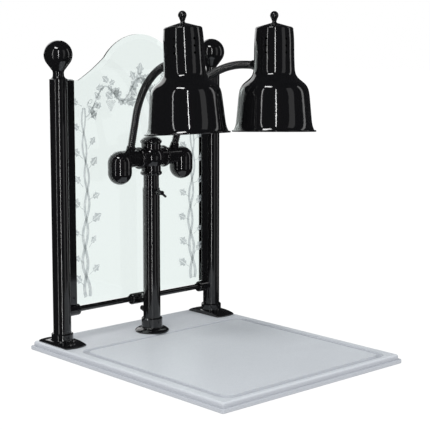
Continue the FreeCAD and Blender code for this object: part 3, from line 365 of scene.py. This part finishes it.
# ---- ribbed necks ---------------------------------------------------------------------------
NECK_R = 0.0085
NECK_VALLEY = 0.0017        # depth of the valleys between ribs
RIB_PITCH = 0.0046
RING_POINTS = 28            # points round a neck
RINGS_PER_RIB = 8
NECK_START = 0.02335        # from the arm's axis to the neck's lower end
ENTRY_DROP = {"left": -0.004, "right": 0.0105}   # from the bulb joint's point down to the neck's entry
WALL_REACH = 0.055          # from the lamp's axis back to the neck's upper end
NECK_END = {"left": (78.0, 0.006), "right": (90.0, 0.024)}   # heading (degrees) and straight end


def neck_path(side):
    """Points and tangents of a neck's centreline: a straight run, one arc and a straight end."""
    swing = JOINTS[side + "_neck_swing"]
    bulb = JOINTS[side + "_bulb_turn"]
    first = Vector(swing["axis"]).normalized()
    ahead = Vector((first.x, first.y, 0)).normalized()
    lean = math.acos(first.z)
    arrive = math.radians(NECK_END[side][0])
    last = ahead * math.sin(arrive) + UP * math.cos(arrive)
    start = Vector(swing["pos_m"]) + first * NECK_START
    entry = Vector(bulb["pos_m"]) - Vector(bulb["axis"]) * ENTRY_DROP[side]
    end = entry - last * WALL_REACH
    bend_end = end - last * NECK_END[side][1]
    reach = (bend_end - start).dot(ahead)
    rise = (bend_end - start).z
    across = math.cos(lean) - math.cos(arrive)
    climb = math.sin(arrive) - math.sin(lean)
    determinant = math.sin(lean) * climb - math.cos(lean) * across
    run = (reach * climb - rise * across) / determinant
    radius = (math.sin(lean) * rise - math.cos(lean) * reach) / determinant
    total = run + radius * (arrive - lean) + NECK_END[side][1]
    steps = int(total / RIB_PITCH * RINGS_PER_RIB)
    points, tangents, distances = [], [], []
    for index in range(steps + 1):
        along = total * index / steps
        turn = min(max(along - run, 0), radius * (arrive - lean)) / radius + lean
        point = start + first * min(along, run)
        point += ahead * (radius * (math.cos(lean) - math.cos(turn)))
        point += UP * (radius * (math.sin(turn) - math.sin(lean)))
        point += last * max(along - run - radius * (arrive - lean), 0)
        points.append(point)
        tangents.append(ahead * math.sin(turn) + UP * math.cos(turn))
        distances.append(along)
    return points, tangents, distances, ahead


def make_neck(side, materials):
    points, tangents, distances, ahead = neck_path(side)
    radii = [NECK_R - NECK_VALLEY * abs(math.cos(math.pi * d / RIB_PITCH)) ** 3 for d in distances]
    vertices, faces = ring_tube(points, tangents, ahead.cross(UP), radii, RING_POINTS)
    neck = mesh_object(side + "_ribbed_neck", vertices, faces, materials["neck_metal"])
    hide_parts(side + "_neck")
    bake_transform(neck)


# ---- glass guard ----------------------------------------------------------------------------
BEVEL_W = 0.011             # width of the bevel along the pane's edge
BEVEL_DEPTH = 0.0022
FACE_TOLERANCE = 1e-5


def pane_outline():
    """Counter-clockwise outline of the pane in X and Z, read from the CAD pane's front face."""
    low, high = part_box("glass_panel")
    mesh = NODES["glass_panel"].data
    front = set()
    for vertex in mesh.vertices:
        if abs(vertex.co.y - low.y) < FACE_TOLERANCE:
            front.add((round(vertex.co.x, 5), round(vertex.co.z, 5)))
    middle_z = (low.z + high.z) / 2
    return sorted(front, key=lambda p: math.atan2(p[1] - middle_z, p[0])), low, high


def make_pane(materials):
    """Pane with a polished bevel round its front edge."""
    outline, low, high = pane_outline()
    count = len(outline)
    inner = []
    for index in range(count):
        before = Vector(outline[index - 1])
        here = Vector(outline[index])
        after = Vector(outline[(index + 1) % count])
        first = (here - before).normalized()
        second = (after - here).normalized()
        normal = Vector((-(first.y + second.y), first.x + second.x)).normalized()
        miter = max(normal.dot(Vector((-first.y, first.x))), 0.5)
        inner.append(here + normal * (BEVEL_W / miter))
    vertices = [(p[0], high.y, p[1]) for p in outline]
    vertices += [(p[0], low.y + BEVEL_DEPTH, p[1]) for p in outline]
    vertices += [(p.x, low.y, p.y) for p in inner]
    faces = [tuple(range(count - 1, -1, -1)), tuple(range(2 * count, 3 * count))]
    for ring in (0, count):
        for index in range(count):
            after = (index + 1) % count
            faces.append((ring + index, ring + after, ring + after + count, ring + index + count))
    pane = mesh_object("bevelled_pane", vertices, faces, materials["guard_glass"], smooth=False)
    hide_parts("glass_panel")
    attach(pane, "base")


# ---- etched vine ----------------------------------------------------------------------------
ETCH_LIFT = 0.0002          # the etching stands this far in front of the pane
VINE_X = 0.151              # from the middle of the pane to a stem
VINE_LOW = 0.016            # above the pane's bottom edge
VINE_TOP = 0.425
VINE_TWIST = 0.062          # height of one half turn of the two stems
GARLAND_Z = 0.462           # middle of the garland above the pane's bottom edge
GARLAND_HALF = 0.135
GARLAND_WAVE = 0.022        # height of the swag's waves
GARLAND_SAG = 0.035         # drop of its ends
STEM_LEAVES = 15
GARLAND_LEAVES = 44
TWIG = 0.012                # from a stem to a leaf
BUNCH_ROWS = 4
BERRY_R = 0.0031
BERRY_STEP = 0.0068


class Etching:
    """Flat faces gathered for one etched motif on the pane's front face."""

    def __init__(self):
        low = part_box("glass_panel")[0]
        self.y = low.y - ETCH_LIFT
        self.foot = low.z
        self.vertices = []
        self.faces = []

    def polygon(self, points):
        start = len(self.vertices)
        self.vertices += [(x, self.y, self.foot + z) for x, z in points]
        self.faces.append(tuple(range(start, start + len(points))))

    def ribbon(self, points, widths):
        """Band of varying width along a line of (x, z) points."""
        left, right = [], []
        for index, (x, z) in enumerate(points):
            before = points[max(index - 1, 0)]
            after = points[min(index + 1, len(points) - 1)]
            along = Vector((after[0] - before[0], after[1] - before[1])).normalized()
            half = widths[index] / 2
            left.append((x - along.y * half, z + along.x * half))
            right.append((x + along.y * half, z - along.x * half))
        for index in range(len(points) - 1):
            self.polygon([left[index], right[index], right[index + 1], left[index + 1]])

    def leaf(self, x, z, angle, length):
        """Three-lobed leaf, drawn as two half blades with a clear vein between them."""
        reach = Vector((math.cos(angle), math.sin(angle)))
        side = Vector((-reach.y, reach.x))
        stations = [(0.0, 0.02), (0.18, 0.30), (0.34, 0.22), (0.52, 0.42), (0.68, 0.2), (0.84, 0.14),
                    (1.0, 0.0)]
        for way in (-1, 1):
            outer = [Vector((x, z)) + (reach * t + side * (way * w)) * length for t, w in stations]
            vein = [Vector((x, z)) + (reach * t + side * (way * 0.025)) * length for t, w in stations[:-1]]
            for index in range(len(stations) - 2):
                self.polygon([tuple(vein[index]), tuple(vein[index + 1]), tuple(outer[index + 1]),
                              tuple(outer[index])])
            self.polygon([tuple(vein[-1]), tuple(outer[-1]), tuple(outer[-2])])

    def berry(self, x, z, radius):
        count = 12
        turn = 2 * math.pi / count
        outer = [(x + radius * math.cos(turn * i), z + radius * math.sin(turn * i)) for i in range(count)]
        inner = [(x + 0.45 * radius * math.cos(turn * i), z + 0.45 * radius * math.sin(turn * i))
                 for i in range(count)]
        for i in range(count):
            j = (i + 1) % count
            self.polygon([outer[i], outer[j], inner[j], inner[i]])

    def finish(self, name, material):
        etching = mesh_object(name, self.vertices, self.faces, material, smooth=False)
        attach(etching, "base")


def etch_stem(etching, side, chance):
    """Two intertwined stems that climb one edge of the pane, with leaves on alternate sides."""
    count = 90              # steps along a stem
    for strand in (0, math.pi):
        points, widths = [], []
        for index in range(count + 1):
            rise = index / count
            z = VINE_LOW + (VINE_TOP - VINE_LOW) * rise
            swing = 0.0075 - 0.003 * rise
            wander = 0.004 * math.sin(z * 23 + side)
            points.append((side * (VINE_X + wander) + swing * math.sin(math.pi * z / VINE_TWIST + strand), z))
            widths.append(0.0085 - 0.0045 * rise)
        etching.ribbon(points, widths)
    for index in range(STEM_LEAVES):
        z = VINE_LOW + 0.02 + (VINE_TOP - VINE_LOW) * (index + chance.uniform(0, 0.5)) / STEM_LEAVES
        way = 1 if index % 2 else -1
        x = side * VINE_X + way * 0.007
        angle = math.radians(90 - way * chance.uniform(35, 75))
        tip = (x + TWIG * math.cos(angle), z + TWIG * math.sin(angle))
        etching.ribbon([(x, z), tip], [0.0016, 0.0012])
        etching.leaf(tip[0], tip[1], angle, chance.uniform(0.018, 0.028))


def garland_height(t):
    """Height of the swag at t, from -1 at its left end to 1 at its right end."""
    return GARLAND_Z + GARLAND_WAVE * math.cos(3 * math.pi * t) - GARLAND_SAG * t * t


def etch_garland(etching, chance):
    """Swag of leaves and fruit between the two stems, thickest in the middle."""
    count = 60              # steps along the swag
    points, widths = [], []
    for index in range(count + 1):
        t = -1 + 2 * index / count
        points.append((t * (VINE_X - 0.004), garland_height(t)))
        widths.append(0.0042 - 0.0014 * abs(t))
    etching.ribbon(points, widths)
    for index in range(GARLAND_LEAVES):
        t = -1 + 2 * (index + chance.uniform(0.1, 0.9)) / GARLAND_LEAVES
        x = t * GARLAND_HALF
        z = garland_height(t) + chance.uniform(-0.012, 0.014)
        turn = chance.uniform(0, 2 * math.pi)
        etching.leaf(x, z, turn, chance.uniform(0.018, 0.030) * (1.15 - 0.35 * abs(t)))
    for centre in (-0.6, -0.2, 0.2, 0.6):
        top = GARLAND_Z - 0.014 - GARLAND_SAG * centre ** 2
        for row in range(BUNCH_ROWS):
            for place in range(BUNCH_ROWS - row):
                x = centre * GARLAND_HALF + (place - (BUNCH_ROWS - 1 - row) / 2) * BERRY_STEP
                etching.berry(x, top - row * 0.006, BERRY_R)
    for side in SIDES.values():
        curl = []
        for index in range(16):
            turn = 0.35 * index
            inward = 0.006 + 0.010 * (1 - math.cos(turn)) * (1 - turn / 9)
            curl.append((side * (VINE_X - inward), VINE_TOP + 0.01 * math.sin(turn) + 0.004 * turn))
        etching.ribbon(curl, [0.0018] * len(curl))


def make_etching(materials):
    chance = random.Random(7)
    for name, side in SIDES.items():
        stem = Etching()
        etch_stem(stem, side, chance)
        stem.finish(name + "_etched_vine", materials["etched"])
    garland = Etching()
    etch_garland(garland, chance)
    garland.finish("etched_garland", materials["etched"])


make_camera()
make_world()
make_lights()
make_floor()
materials = make_materials()
paint_nodes(materials)
for side in SIDES:
    make_neck(side, materials)
make_pane(materials)
make_etching(materials)

scene.view_settings.view_transform = "Standard"
